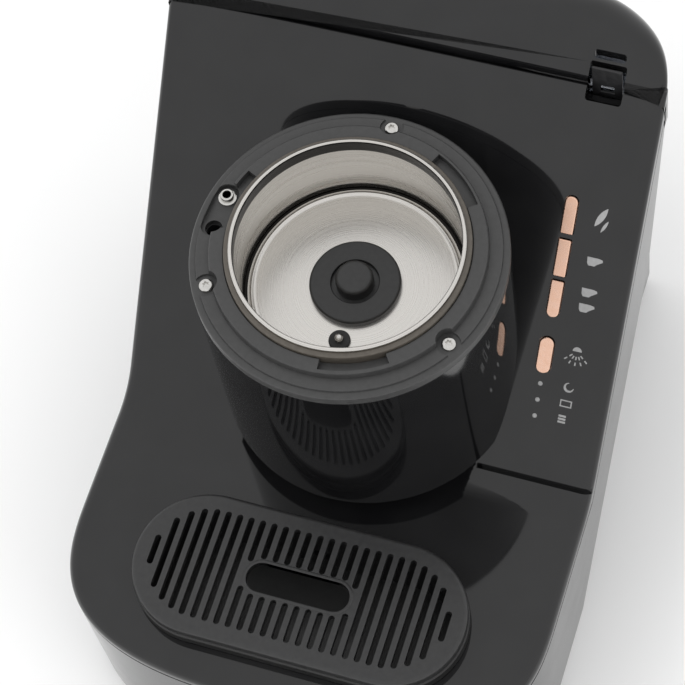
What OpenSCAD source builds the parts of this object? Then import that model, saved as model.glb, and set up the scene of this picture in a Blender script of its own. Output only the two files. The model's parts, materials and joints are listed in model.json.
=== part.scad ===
// Countertop brewing machine: a low body with a sloped control panel, a round brewing chamber that
// stands on the deck, a drip tray in front of it and a lift-off water tank behind the panel.
// Frame: millimetres, X to the right, Y to the back, Z up. The origin is on the table, under the
// middle of the machine.

/* [Overall] */
// Width across the side walls
body_w = 184; // [176:1:222]
// Depth from the front of the base to the back of the tank cover
body_d = 244; // [238:1:294]
// Height of the flat deck above the table
deck_h = 78; // [74:1:96]
// Height of the rubber feet
foot_h = 4; // [3:0.5:6]
// Thickness of the moulded walls
wall = 2.5; // [2:0.1:3]
// Thickness of the deck and panel skin
skin = 3; // [2.5:0.1:3.6]
// Depth of the rounded front of the base, in plan
front_len = 60; // [50:1:75]
// Height of the lip that the deck and panel skin turns down over the base
lip_h = 6; // [4:0.5:8]

/* [Sloped panel] */
// Angle of the panel from the horizontal
panel_angle = 47.5; // [44:0.5:51]
// Length of the panel up the slope, from the deck to the tank cover's seam
panel_len = 158; // [152:1:172]
// Height of the side cheeks below the panel, measured straight down
cheek_h = 57; // [48:1:64]
// Width of the dark groove at the foot of the controls
groove_w = 2; // [1:0.1:3]
// How far the rear body is set in from each side wall
rear_inset = 13; // [8:0.5:16]

/* [Tank cover] */
// Length of the flat band above the seam, up the slope
band_len = 15.5; // [12:0.5:20]
// Radius of the roll over the top
roll_r = 12; // [9:0.5:14]
// Radius of the rear corners in plan
corner_r = 34; // [26:1:38]
// Width of the seam between the panel and the cover
seam = 0.8; // [0.6:0.1:1.2]
// Height of the cover's lower edge
cover_base = 177; // [176:0.5:179]
// Height of the tank's shoulder
shoulder = 170; // [140:1:171]
// Height of the ledge that the tank stands on
ledge_h = 40; // [36:1:48]

/* [Brewing chamber] */
// Distance of the chamber's axis behind the foot of the panel
chamber_back = 28; // [26:1:32]
// Height of the steel rim above the deck
rim_rise = 109; // [106:1:130]
// Outer radius of the steel chamber
bowl_r = 41; // [36:0.5:42]
// Depth of the steel chamber
bowl_depth = 32; // [26:1:36]
// Thickness of the steel
steel = 0.8; // [0.6:0.1:1]
// Outer radius of the chamber's housing and of the ring on it
housing_r = 56; // [55:0.5:60]
// Height of the housing's underside above the deck
plinth_h = 10; // [6:0.5:12]
// Drop from the steel rim to the top of the ring's flange
flange_drop = 7; // [6:0.5:8]
// Thickness of the ring's flange
flange_t = 4; // [3:0.5:5]
// Radius of the circle that the ring's screws stand on
screw_circle = 50.6; // [50:0.1:51.5]
// Radius of the hub on the chamber's floor
hub_r = 16.4; // [14:0.2:17]
// Radius of the stopper knob in the hub
knob_r = 6.8; // [6:0.1:7.4]
// Distance of the temperature probe from the chamber's axis
probe_reach = 22.5; // [22:0.5:26]

/* [Drip tray] */
// Distance of the tray's centre in front of the chamber's axis
tray_reach = 92; // [90:1:96]
// Length of the tray across the machine
tray_l = 128; // [110:1:140]
// Width of the tray from front to back
tray_w = 56; // [50:1:60]
// Depth of the tray below the deck
tray_depth = 24; // [18:1:28]
// Height of the tray's rim above the deck
rim_h = 5; // [3:0.5:6]
// Thickness of the grille
grille_t = 5; // [4:0.5:6]
// Number of slots in the grille
slot_count = 26; // [20:2:28]
// Distance between the slots
slot_pitch = 4.48; // [3.8:0.02:4.6]
// Width of each slot
slot_w = 2.35; // [2:0.05:2.6]

/* [Controls] */
// Distance of the buttons from the right edge of the panel
button_in = 26; // [24:0.5:30]
// Distance of the icons from the right edge of the panel
icon_in = 14.3; // [12:0.1:16]
// Length of each button up the slope
button_l = 14.2; // [12:0.1:15]
// Width of the three buttons in the bar
bar_w = 4.7; // [4:0.1:6]
// Width of the single button
single_w = 5.4; // [4:0.1:6]
// How far the buttons stand out of the panel
button_rise = 1.2; // [0.8:0.1:2]
// How far the buttons travel
button_travel = 0.8; // [0.5:0.1:1]
// Gap round each button
button_gap = 0.25; // [0.2:0.05:0.4]

/* [Hidden] */
$fn = 64;

// Clearances
touch = 0.1;         // between parts that rest on each other but lift off
slip = 0.05;         // round a shaft that slides or turns in its hole
free = 0.6;          // between parts that only pass each other

// Levels and depths that several parts share
rise = sin(panel_angle);
run = cos(panel_angle);
front_y = -body_d / 2;
back_y = body_d / 2;
roof_len = panel_len + band_len;
foot_y = back_y - roof_len * run - roll_r * (1 + rise);
seam_y = foot_y + panel_len * run;
seam_z = deck_h + panel_len * rise;
roll_y = back_y - roll_r;
roll_z = deck_h + roof_len * rise - roll_r * run;
chamber_y = foot_y + chamber_back;
tray_y = chamber_y - tray_reach;
rim_z = deck_h + rim_rise;
flange_z = rim_z - flange_drop;
ring_z = flange_z - flange_t;
floor_z = rim_z - bowl_depth;
under_z = deck_h + plinth_h;
plinth_r = housing_r - 6;
side_x = body_w / 2;
rear_x = side_x - rear_inset;
lip_v = lip_h / run;
plate_z = foot_h + wall;

// Outlines, as lists of points that run anticlockwise
function unit(v) = v / norm(v);
function left(u) = [-u[1], u[0]];
function inset(p, d) = [for (i = [0:len(p) - 1])
    let (n = len(p), m = left(unit(p[i] - p[(i + n - 1) % n])), k = left(unit(p[(i + 1) % n] - p[i])))
    p[i] + d * (m + k) / (1 + m * k)];
function arc(c, r, from, to, n = 8) = [for (i = [0:n])
    c + r * [cos(from + (to - from) * i / n), sin(from + (to - from) * i / n)]];
function bulge(t) = pow(abs(t), 2 / 3);
function front_outline(end_y) = concat([[side_x, end_y], [-side_x, end_y]],
    [for (i = [0:24]) let (t = 180 + 7.5 * i)
        [side_x * sign(cos(t)) * bulge(cos(t)), front_y + front_len * (1 - bulge(sin(t)))]]);
function panel_z(y) = deck_h + (y - foot_y) * rise / run;

// The cheeks end in a short taper below the seam
taper_y = seam_y - 24;
cheek_end = [seam_y, seam_z - lip_v - 6];
cheek_toe = [foot_y + (foot_h - deck_h + cheek_h) * run / rise, foot_h];
cheek_heel = [taper_y, panel_z(taper_y) - cheek_h];
cheek_profile = [[front_y - 1, foot_h], cheek_toe, cheek_heel, cheek_end,
    [seam_y, seam_z - lip_v], [foot_y + lip_h * tan(panel_angle / 2), deck_h - lip_h],
    [front_y - 1, deck_h - lip_h]];
rear_profile = [cheek_toe, [back_y - 3, foot_h], [back_y - 3, ledge_h], [seam_y, ledge_h],
    cheek_end, cheek_heel];

// Places in the chamber, as angles anticlockwise from the right
screw_angles = [90, 210, 330];
gap_angles = [-70, 50, 170];
nipple_angle = 168;
socket_angle = 182.6;
probe_angle = -87;
socket_circle = 49.3;
bead_r = 0.8;

// Controls, measured up the panel from its foot
button_x = side_x - button_in;
icon_x = side_x - icon_in;
bar_places = [108, 91.6, 75.6];
single_place = 53.4;
light_places = [41.8, 35.3, 28.8];
board_drop = 9;
button_root = board_drop - 3.6;

// Drip tray
tub_in = 3.5;
tray_gap = 1;
tub_l = tray_l - 2 * tub_in;
tub_w = tray_w - 2 * tub_in;
grille_z = deck_h + rim_h + touch;
finger_r = 5.7;
finger_l = 28 + 2 * finger_r;
border = 2.6;
drain_z = deck_h - 12;

// Water tank and cover
tank_front = seam_y + seam;
tank_back = back_y - 0.6;
tank_x = rear_x - free;
tank_floor = ledge_h + 0.3 + wall;
neck_in = 3;
neck_back = back_y - 15;
neck_top = cover_base + 4.5;
pin_y = back_y - 8;
pin_z = cover_base + 5;
pin_r = 1.5;
hinge_x = 40;
valve_x = 30;
valve_y = back_y - 17;

// Parts in the base
pump_x = valve_x;
pump_y = 38;
pump_z = 31;
pump_r = 15;
meter_y = valve_y - 8;
outlet_top = floor_z - 17;
outlet_h = 19;
coil_top = outlet_top - outlet_h;
coil_h = 31;

// Frames and shapes that repeat
module at_chamber(r = 0, a = 0) translate([0, chamber_y, 0]) rotate(a) translate([r, 0, 0]) children();
module on_panel(x = 0, s = 0) translate([0, foot_y, deck_h]) rotate([panel_angle, 0, 0])
    translate([x, s, 0]) children();
module along_x(points, half) translate([-half, 0, 0]) rotate([90, 0, 90])
    linear_extrude(2 * half) polygon(points);
module tube(outer, inner, low, high) translate([0, 0, low]) difference() {
    cylinder(r = outer, h = high - low);
    translate([0, 0, -1]) cylinder(r = inner, h = high - low + 2);
}
module rod(r, low, high) translate([0, 0, low]) cylinder(r = r, h = high - low);
module stadium(l, w, low, high) translate([0, 0, low]) linear_extrude(high - low) {
    square([l - w, w], center = true);
    for (s = [-1, 1]) translate([s * (l - w) / 2, 0]) circle(w / 2);
}
module sector(inner, outer, middle, width, low, high) translate([0, 0, low])
    rotate(middle - width / 2) rotate_extrude(angle = width)
        translate([inner, 0]) square([outer - inner, high - low]);
module box(low, high) translate(low) cube(high - low);
module pipe(points, r) for (i = [0:len(points) - 2]) {
    step = points[i + 1] - points[i];
    translate(points[i]) rotate([0, acos(step[2] / norm(step)), atan2(step[1], step[0])])
        cylinder(r = r, h = norm(step), $fn = 24);
    if (i > 0) translate(points[i]) sphere(r = r + 0.05, $fn = 24);
}
// A helical spring with flat-cut ends, swept ring by ring
module coil(r, wire, turns, low, high) {
    sides = 6;
    steps = 12 * turns;
    climb = (high - low - 2 * wire) / steps;
    points = [for (i = [0:steps], j = [0:sides - 1])
        let (a = 30 * i, b = 360 * j / sides, q = r + wire * cos(b))
        [q * cos(a), q * sin(a), low + wire + climb * i + wire * sin(b)]];
    skin_faces = [for (i = [0:steps - 1], j = [0:sides - 1]) let (k = (j + 1) % sides)
        [i * sides + j, (i + 1) * sides + j, (i + 1) * sides + k, i * sides + k]];
    polyhedron(points, concat(skin_faces, [[for (j = [0:sides - 1]) j]],
        [[for (j = [sides - 1:-1:0]) steps * sides + j]]));
}
module slot_cut(w, l, r, deep) for (s = [-1, 1]) {
    translate([0, s * (l / 2 - r), -deep]) cylinder(r = r, h = deep + 4, $fn = 32);
    translate([-w / 2, -l / 2 + r, -deep]) cube([w, l - 2 * r, deep + 4]);
}
module opening_under_chamber(margin = 0) {
    at_chamber() rod(plinth_r - 3.5 + margin, 0, seam_z);
    intersection() {
        at_chamber() rod(housing_r - 4 + margin, 0, seam_z);
        box([-side_x, foot_y + 8, 0], [side_x, back_y, seam_z]);
    }
}
module above_panel() along_x([[front_y, deck_h], [foot_y, deck_h], [foot_y + roof_len * run,
    deck_h + roof_len * rise], [foot_y, 2 * seam_z], [front_y, 2 * seam_z]], side_x);

// Housing
module skin_profile(depth) along_x([[front_y - 1, deck_h - depth],
    [foot_y + depth * tan(panel_angle / 2), deck_h - depth], [seam_y, seam_z - depth / run],
    [seam_y, seam_z], [foot_y, deck_h], [front_y - 1, deck_h]], side_x + 1);
module plan_solid(d) linear_extrude(2 * seam_z) polygon(inset(front_outline(seam_y + d), d));

module main_housing() color([0.09, 0.09, 0.095]) difference() {
    union() {
        intersection() {
            skin_profile(skin);
            plan_solid(0);
        }
        intersection() {
            skin_profile(lip_h);
            difference() {
                plan_solid(0);
                plan_solid(wall);
            }
        }
    }
    opening_under_chamber();
    translate([0, tray_y, 0])
        stadium(tub_l + 2 * tray_gap, tub_w + 2 * tray_gap, deck_h - 2 * skin, deck_h + 1);
    for (s = bar_places) on_panel(button_x, s)
        slot_cut(bar_w + 2 * button_gap, button_l + 2 * button_gap, 1, 2 * skin);
    on_panel(button_x, single_place)
        slot_cut(single_w + 2 * button_gap, button_l + 2 * button_gap, 1.5, 2 * skin);
    for (s = light_places) on_panel(button_x, s) rod(1, -2 * skin, 1);
    on_panel(0, 3) translate([housing_r - 8, 0, -1.4]) cube([side_x, groove_w, 5]);
    translate([button_x - 2, seam_y - 5, seam_z - 9]) cube([13, 10, 20]);
}

module base_shell() color([0.1, 0.1, 0.105]) difference() {
    intersection() {
        along_x(cheek_profile, side_x + 1);
        plan_solid(0);
    }
    intersection() {
        along_x(concat([[front_y - 1, 0]], [[cheek_toe[0] - wall / rise, 0]],
            [[cheek_heel[0] - wall / rise, cheek_heel[1]]], [cheek_end + [-wall, 3]],
            [[seam_y - wall, 2 * seam_z], [front_y - 1, 2 * seam_z]]), side_x);
        plan_solid(wall);
    }
    box([-rear_x + wall, cheek_toe[0] - 10, 0], [rear_x - wall, back_y, seam_z]);
}

module rear_shell() color([0.1, 0.1, 0.105]) difference() {
    along_x(rear_profile, rear_x);
    difference() {
        along_x(inset(rear_profile, wall), rear_x - wall);
        box([valve_x - 14, tank_front - 1, ledge_h - 6], [valve_x + 14, back_y, ledge_h]);
    }
    along_x([[cheek_toe[0] - 8, 0], [back_y - 3 - wall, 0], [back_y - 3 - wall, plate_z + 3],
        [cheek_toe[0] + 12, plate_z + 3], cheek_heel + [4, -4], cheek_heel + [-3, 3]],
        rear_x - wall);
    translate([valve_x, valve_y, ledge_h - 10]) cylinder(r = 11, h = 20);
    translate([-50, back_y, 21]) cube([27, 20, 19], center = true);
}

module base_plate() color([0.13, 0.13, 0.13]) difference() {
    translate([0, 0, foot_h]) linear_extrude(wall) union() {
        polygon(inset(front_outline(cheek_toe[0] + 1.5), wall + 0.2));
        translate([-rear_x + wall + 0.2, cheek_toe[0] - 5])
            square([2 * (rear_x - wall - 0.2), back_y - 3 - wall - 0.2 - cheek_toe[0] + 5]);
    }
    for (x = [-1, 1], y = [0, 1]) translate([x * (rear_x - 32), screw_y(y), 0])
        rod(1.8, 0, plate_z + 1);
    for (i = [0:5]) translate([-58 + 8 * i, -4, 0]) cube([3, 30, plate_z + 1]);
}
function screw_y(i) = [front_y + 46, back_y - 22][i];
function foot_place(i) = [front_y + 30, back_y - 20][i];

module rubber_feet() color([0.05, 0.05, 0.05]) for (x = [-1, 1], y = [0, 1])
    translate([x * (rear_x - 12), foot_place(y), 0]) {
        rod(9, 0, foot_h);
    }

module base_screws() color([0.6, 0.6, 0.6]) for (x = [-1, 1], y = [0, 1])
    translate([x * (rear_x - 32), screw_y(y), 0]) {
        rod(3, foot_h - 1.8, foot_h);
        rod(1.5, foot_h - 1, plate_z + 5);
    }

// Brewing chamber
module chamber_housing() color([0.08, 0.08, 0.085]) intersection() {
    translate([0, 0, 0.05]) above_panel();
    difference() {
        at_chamber() {
            tube(housing_r, housing_r - wall, under_z, ring_z);
            tube(housing_r, plinth_r - wall, under_z, under_z + wall);
            tube(plinth_r, plinth_r - wall, deck_h - 1, under_z + wall);
            for (a = screw_angles) rotate(a) translate([screw_circle, 0, 0])
                rod(4.2, ring_z - 12, ring_z - 0.4);
        }
        at_chamber() for (a = screw_angles) rotate(a) translate([screw_circle, 0, 0])
            rod(1.5, ring_z - 9.3, ring_z + 1);
    }
}

module top_ring() color([0.3, 0.3, 0.3]) at_chamber() difference() {
    union() {
        tube(housing_r, bowl_r + 3.2, ring_z, flange_z);
        tube(housing_r - 2.6, bowl_r + 3.2, flange_z - 1, flange_z + 1);
        tube(bowl_r + 7.6, bowl_r + 3.2, flange_z - 1, flange_z + 4);
    }
    for (a = gap_angles) sector(bowl_r + 2, bowl_r + 6.4, a, 30, flange_z + 1, rim_z + 1);
    for (a = screw_angles) rotate(a) translate([screw_circle, 0, 0]) {
        rod(4.3, flange_z, rim_z);
        rod(1.7, ring_z - 1, rim_z);
    }
    for (a = [nipple_angle, (nipple_angle + socket_angle) / 2, socket_angle])
        rotate(a) translate([socket_circle, 0, 0]) rod(4.6, flange_z - 1.5, rim_z);
    rotate(nipple_angle) translate([socket_circle, 0, 0]) rod(2.7, ring_z - 1, rim_z);
    rotate(socket_angle) translate([socket_circle, 0, 0]) rod(3.1, ring_z - 1, rim_z);
}

module ring_screws() color([0.75, 0.75, 0.74]) at_chamber() for (a = screw_angles)
    rotate(a) translate([screw_circle, 0, 0]) difference() {
        union() {
            rod(2.6, flange_z, flange_z + 1.5);
            rod(1.45, ring_z - 9, flange_z + 1);
        }
        for (k = [0:2]) rotate(60 * k) translate([-1.35, -0.4, flange_z + 0.7]) cube([2.7, 0.8, 2]);
    }

module chamber_gasket() color([0.42, 0.39, 0.35]) at_chamber()
    tube(bowl_r + 3.1, bowl_r + 0.05, ring_z, rim_z - 1.6);

module brew_chamber() color([0.78, 0.77, 0.75]) at_chamber() difference() {
    union() {
        tube(bowl_r, bowl_r - steel, floor_z - steel, rim_z - bead_r);
        rod(bowl_r - steel / 2, floor_z - steel, floor_z);
        tube(bowl_r + 4.2, bowl_r - steel / 2, ring_z - steel, ring_z);
        translate([0, 0, rim_z - bead_r]) rotate_extrude() translate([bowl_r - steel / 2, 0])
            circle(bead_r, $fn = 24);
        tube(bowl_r - 3, bowl_r - 4.6, floor_z - steel / 2, floor_z + 0.7);
    }
    rod(12, floor_z - 5, floor_z + 5);
    rotate(probe_angle) translate([probe_reach, 0, 0]) rod(3.2, floor_z - 5, floor_z + 5);
}

module heater_ring() color([0.6, 0.6, 0.6]) at_chamber() difference() {
    union() {
        tube(38, 27.5, floor_z - steel - 8, floor_z - steel);
        for (a = [20, 40]) rotate(a) translate([32, 0, 0])
            rod(1.6, floor_z - steel - 18, floor_z - steel - 4);
    }
}

module thermostat() color([0.85, 0.84, 0.8]) at_chamber(32, 130) {
    rod(5, floor_z - steel - 14, floor_z - steel - 8);
    for (x = [-2.5, 2.5]) translate([x, 0, 0]) rod(0.8, floor_z - steel - 20, floor_z - steel - 13);
}

module thermal_fuse() color([0.8, 0.78, 0.6]) at_chamber(32, 230)
    rod(3, floor_z - steel - 17, floor_z - steel - 8);

module hub_disc() color([0.1, 0.1, 0.1]) at_chamber() difference() {
    union() {
        rod(hub_r, floor_z, floor_z + 3);
        tube(11.8, 4.5, outlet_top, floor_z + 1);
    }
    tube(knob_r + 1.8, 4.4, floor_z + 1.4, floor_z + 4);
    rod(4.5, outlet_top - 1, floor_z + 4);
}

module hub_nut() color([0.7, 0.7, 0.68]) at_chamber() difference() {
    translate([0, 0, floor_z - steel - 5]) cylinder(r = 16.5, h = 5, $fn = 6);
    rod(11.9, floor_z - 20, floor_z);
}

module valve_stopper() color([0.12, 0.12, 0.12]) at_chamber() difference() {
    stopper_blank();
    rod(2.2, floor_z - 7, floor_z + 4);
}
module stopper_blank() {
    rod(knob_r, floor_z + 1.4 + touch, floor_z + 5.5);
    translate([0, 0, floor_z + 5.5]) rotate_extrude() difference() {
        translate([knob_r - 1.5, 0]) circle(1.5, $fn = 24);
        translate([-20, -20]) square([20, 40]);
        translate([-1, -20]) square([20, 20]);
    }
    rod(knob_r - 1.5, floor_z + 5, floor_z + 7);
    rod(3.6, floor_z - 6, floor_z + 2);
}

module valve_stem() color([0.75, 0.75, 0.75]) at_chamber() {
    rod(2.2, coil_top - 8, floor_z + 4);
    rod(5, coil_top - 28, coil_top - 8);
}

module stopper_spring() color([0.7, 0.7, 0.7]) at_chamber()
    coil(3.6, 0.35, 4, coil_top - 8 + touch, coil_top - touch, $fn = 12);

module outlet_body() color([0.2, 0.2, 0.2]) at_chamber() difference() {
    rod(11.8, coil_top, outlet_top);
    rod(4.5, coil_top + 3, outlet_top + 1);
    rod(2.2 + slip, coil_top - 1, coil_top + 5);
    translate([0, 0, coil_top + 9]) rotate([90, 0, 0]) cylinder(r = 2.6, h = 20);
}

module solenoid_coil() color([0.55, 0.2, 0.1]) at_chamber()
    tube(14, 5 + 0.2, coil_top - coil_h, coil_top);

module drain_tube() color([0.85, 0.85, 0.82]) {
    bend = chamber_y - 24;
    pipe([[0, chamber_y - 11.8, coil_top + 9], [0, bend, coil_top + 9], [0, bend, drain_z + 2],
        [0, tray_y + tub_w / 2 + tray_gap, drain_z]], 2.6);
}

module temperature_probe() color([0.8, 0.8, 0.78]) at_chamber(probe_reach, probe_angle) {
    rod(1.6, floor_z - 12, floor_z + 4);
    rod(2.6, floor_z - 12, floor_z - 6);
}

module probe_grommet() color([0.1, 0.1, 0.1]) at_chamber(probe_reach, probe_angle) {
    tube(3.2, 1.6, floor_z - 4, floor_z);
    tube(3.9, 1.6, floor_z, floor_z + 1.2);
    tube(3.9, 1.6, floor_z - 4, floor_z - steel);
}

module socket_block() color([0.15, 0.15, 0.15]) at_chamber() difference() {
    sector(bowl_r + 5, housing_r - wall - 0.3, (nipple_angle + socket_angle) / 2, 27,
        ring_z - 16, ring_z);
    rotate(nipple_angle) translate([socket_circle, 0, 0]) rod(2.5, ring_z - 20, ring_z + 1);
    rotate(socket_angle) translate([socket_circle, 0, 0]) rod(2.8, ring_z - 20, ring_z + 1);
}

module water_nipple() color([0.8, 0.8, 0.78]) at_chamber(socket_circle, nipple_angle) difference() {
    union() {
        rod(2.5, ring_z - 24, flange_z + 1.5);
        rod(3.3, flange_z - 1.5, flange_z - 0.3);
    }
    rod(1.3, ring_z - 25, flange_z + 2);
}

module lid_switch() color([0.12, 0.12, 0.14]) at_chamber(socket_circle, socket_angle) {
    box([-3, -6, ring_z - 32], [3, 6, ring_z - 17]);
    rod(1, ring_z - 17.5, ring_z - 6);
}

// Drip tray
module tray_well() color([0.1, 0.1, 0.1]) translate([0, tray_y, 0]) difference() {
    stadium(tub_l + 2 * tray_gap + 2 * wall, tub_w + 2 * tray_gap + 2 * wall,
        deck_h - tray_depth - 2 - wall, deck_h - skin);
    stadium(tub_l + 2 * tray_gap, tub_w + 2 * tray_gap, deck_h - tray_depth - 2, deck_h);
    translate([0, tub_w / 2 - 2, drain_z]) rotate([-90, 0, 0]) cylinder(r = 2.9, h = 12);
}

module drip_tray() color([0.12, 0.12, 0.12]) translate([0, tray_y, 0]) difference() {
    union() {
        stadium(tub_l, tub_w, deck_h - tray_depth, deck_h + 1);
        stadium(tray_l, tray_w, deck_h + touch, deck_h + rim_h);
    }
    stadium(tub_l - 2 * wall, tub_w - 2 * wall, deck_h - tray_depth + wall, deck_h + rim_h + 1);
    translate([0, tub_w / 2 - wall - 1, drain_z]) rotate([-90, 0, 0]) cylinder(r = 3.6, h = wall + 2);
}

module drip_grille() color([0.24, 0.24, 0.24]) translate([0, tray_y, 0]) difference() {
    union() {
        stadium(tray_l - 1, tray_w - 1, grille_z, grille_z + grille_t);
        stadium(finger_l + border, 2 * finger_r + border, grille_z, grille_z + grille_t + 0.4);
    }
    stadium(tray_l - 12, tray_w - 12, grille_z - 1, grille_z + grille_t - 3);
    stadium(finger_l, 2 * finger_r, grille_z, grille_z + grille_t + 2);
    difference() {
        intersection() {
            for (i = [0:slot_count - 1]) translate([(i - (slot_count - 1) / 2) * slot_pitch, 0, 0])
                box([-slot_w / 2, -tray_w, grille_z], [slot_w / 2, tray_w, grille_z + grille_t + 1]);
            stadium(tray_l - 12, tray_w - 13, grille_z, grille_z + grille_t + 1);
        }
        stadium(finger_l + border, 2 * finger_r + border, grille_z - 1, grille_z + grille_t + 2);
    }
}

// Controls
module button(s, w, r) color([0.9, 0.72, 0.62]) on_panel(button_x, s) {
    intersection() {
        slot_cut(w, button_l, r, button_root);
        box([-w, -button_l, -button_root], [w, button_l, button_rise]);
    }
    box([-w / 2 - 1, -button_l / 2 + 0.4, -skin - 1.4], [w / 2 + 1, button_l / 2 - 0.4, -skin - touch]);
}
module button_strong() button(bar_places[0], bar_w, 1);
module button_one_cup() button(bar_places[1], bar_w, 1);
module button_two_cups() button(bar_places[2], bar_w, 1);
module button_clean() button(single_place, single_w, 1.5);

module status_lights() color([0.75, 0.75, 0.75]) for (s = light_places)
    on_panel(button_x, s) rod(1, -board_drop, 0.1);

module cup_icon(w) {
    intersection() {
        circle(w / 2, $fn = 32);
        translate([-w, -w]) square([2 * w, w + 0.4]);
    }
    translate([w / 2, -0.6]) difference() {
        circle(0.9, $fn = 24);
        circle(0.5, $fn = 24);
    }
}
module leaf_icon(l) intersection() {
    translate([l * 0.35, 0]) circle(l * 0.6, $fn = 32);
    translate([-l * 0.35, 0]) circle(l * 0.6, $fn = 32);
}
module panel_icons() color([0.66, 0.66, 0.66]) {
    on_panel(icon_x, bar_places[0]) linear_extrude(0.15) {
        translate([-1.4, 0.6]) rotate(-25) leaf_icon(4.4);
        translate([1.4, -0.4]) rotate(-25) leaf_icon(5.4);
    }
    on_panel(icon_x, bar_places[1] + 1) linear_extrude(0.15) cup_icon(3.8);
    on_panel(icon_x, bar_places[2]) linear_extrude(0.15) for (y = [-3, 3]) translate([0, y]) cup_icon(4.2);
    on_panel(icon_x, single_place) linear_extrude(0.15) {
        translate([0, 3]) square([2.6, 1], center = true);
        for (i = [-2:2], j = [0:2]) translate([i * (0.8 + 0.35 * j), 1.2 - 1.6 * j]) circle(0.35, $fn = 16);
    }
    on_panel(icon_x - 1.2, light_places[0]) linear_extrude(0.15) difference() {
        circle(1.5, $fn = 24);
        circle(1, $fn = 24);
    }
    on_panel(icon_x - 1.2, light_places[1]) linear_extrude(0.15) for (x = [-1.5, 0.4])
        translate([x, -1.2]) square([1.1, 2.4]);
    on_panel(icon_x - 1.2, light_places[2]) linear_extrude(0.15) square([2.8, 1.6], center = true);
}

module control_board() color([0.1, 0.35, 0.2]) on_panel(button_x, 0) difference() {
    box([-10, 22, -board_drop - 1.6], [14, 122, -board_drop]);
    for (y = [26, 118]) translate([10, y, 0]) rod(1.6, -board_drop - 3, 0);
}

module tact_switches() color([0.2, 0.2, 0.2]) for (s = concat(bar_places, [single_place]))
    on_panel(button_x, s) {
        box([-3, -3, -board_drop], [3, 3, -board_drop + 1.8]);
        rod(1.5, -board_drop + 1, -button_root - button_travel - 0.05);
    }

// Water tank and its cover
roll_arc = arc([roll_y, roll_z], roll_r, 0, 90 + panel_angle, 10);
cover_profile = concat([[tank_front, cover_base], [back_y, cover_base]], roll_arc,
    [[tank_front, seam_z + seam * rise / run]]);
function cover_plan(d) = concat([[side_x - d, tank_front + d]],
    arc([side_x - corner_r, back_y - corner_r], corner_r - d, 0, 90),
    arc([-side_x + corner_r, back_y - corner_r], corner_r - d, 90, 180),
    [[-side_x + d, tank_front + d]]);

module tank_cover() color([0.09, 0.09, 0.095]) union() {
    difference() {
        intersection() {
            along_x(cover_profile, side_x);
            linear_extrude(2 * seam_z) polygon(cover_plan(0));
        }
        intersection() {
            along_x(inset(concat([[tank_front, 0], [back_y, 0]], roll_arc,
                [[tank_front, seam_z + seam * rise / run]]), wall), side_x);
            linear_extrude(2 * seam_z) polygon(cover_plan(wall));
        }
        translate([button_x - 2, seam_y - 1, seam_z - 13]) cube([13, 5 + seam, 29]);
        translate([button_x - 1.2, seam_y + 5.5, seam_z - 4]) cube([11.4, 2.2, 30]);
    }
    for (s = [-1, 1]) translate([s * (hinge_x + 5), 0, 0]) difference() {
        along_x(concat([[pin_y + 3.5, roll_z + roll_r - 3.8], [pin_y - 3.5, roll_z + roll_r - 0.8]],
            arc([pin_y, pin_z], 3.5, 180, 360)), 2);
        translate([-5, pin_y, pin_z]) rotate([0, 90, 0]) cylinder(r = pin_r + slip, h = 10, $fn = 32);
    }
}

module cover_hinge_pin() color([0.7, 0.7, 0.7]) for (s = [-1, 1])
    translate([s * (hinge_x + 2.5) - 6, pin_y, pin_z]) rotate([0, 90, 0])
        cylinder(r = pin_r, h = 12, $fn = 32);

module cover_latch() color([0.1, 0.1, 0.1]) difference() {
    box([button_x - 1, tank_front + 0.9, seam_z - 12], [button_x + 9.9, tank_front + 1.9, seam_z + 5.4]);
    box([button_x + 2, seam_y, seam_z - 9], [button_x + 7, seam_y + 5, seam_z - 5]);
}

module water_tank() color([0.25, 0.27, 0.3, 0.6]) difference() {
    union() {
        box([-tank_x, tank_front, ledge_h + 0.3], [tank_x, tank_back, shoulder]);
        box([-tank_x + neck_in, tank_front + neck_in, shoulder - 1],
            [tank_x - neck_in, neck_back, neck_top]);
        for (s = [-1, 1]) translate([s * hinge_x, 0, 0])
            along_x(concat([[neck_back - 1, pin_z - 3.5], [pin_y, pin_z - 3.5]],
                arc([pin_y, pin_z], 3.5, -90, 90), [[neck_back - 1, pin_z + 3.5]]), 2.4);
        translate([valve_x, valve_y, 0]) rod(8, ledge_h - 9, ledge_h + 1);
    }
    box([-tank_x + wall, tank_front + wall, tank_floor], [tank_x - wall, tank_back - wall, shoulder - wall]);
    box([-tank_x + neck_in + 2, tank_front + neck_in + 2, shoulder - 5],
        [tank_x - neck_in - 2, neck_back - 2, neck_top + 1]);
    translate([valve_x, valve_y, 0]) {
        rod(5, ledge_h - 4, ledge_h + 6);
        rod(1.8 + slip, ledge_h - 12, ledge_h);
        for (a = [0:3]) rotate(90 * a) translate([3.4, 0, 0]) rod(1, ledge_h - 12, ledge_h);
    }
    for (s = [-1, 1]) translate([s * hinge_x - 5, pin_y, pin_z]) rotate([0, 90, 0])
        cylinder(r = pin_r, h = 10, $fn = 32);
}

module tank_seal() color([0.06, 0.06, 0.06]) translate([valve_x, valve_y, 0])
    tube(8.35, 8, ledge_h - 7, ledge_h - 5);

module tank_valve() color([0.8, 0.8, 0.8]) translate([valve_x, valve_y, tank_floor]) {
    rod(6.5, touch, 2);
    rod(1.8, -13, 1);
}

module tank_valve_spring() color([0.7, 0.7, 0.7]) translate([valve_x, valve_y, tank_floor])
    coil(4, 0.4, 5, 2 + touch, 14 - touch);

module valve_cage() color([0.85, 0.85, 0.85]) translate([valve_x, valve_y, tank_floor])
    difference() {
        rod(9.5, 0, 16);
        rod(7.5, -1, 14);
        for (a = [0, 90]) rotate(a) translate([-12, -4, 4]) cube([24, 8, 8]);
    }

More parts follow.
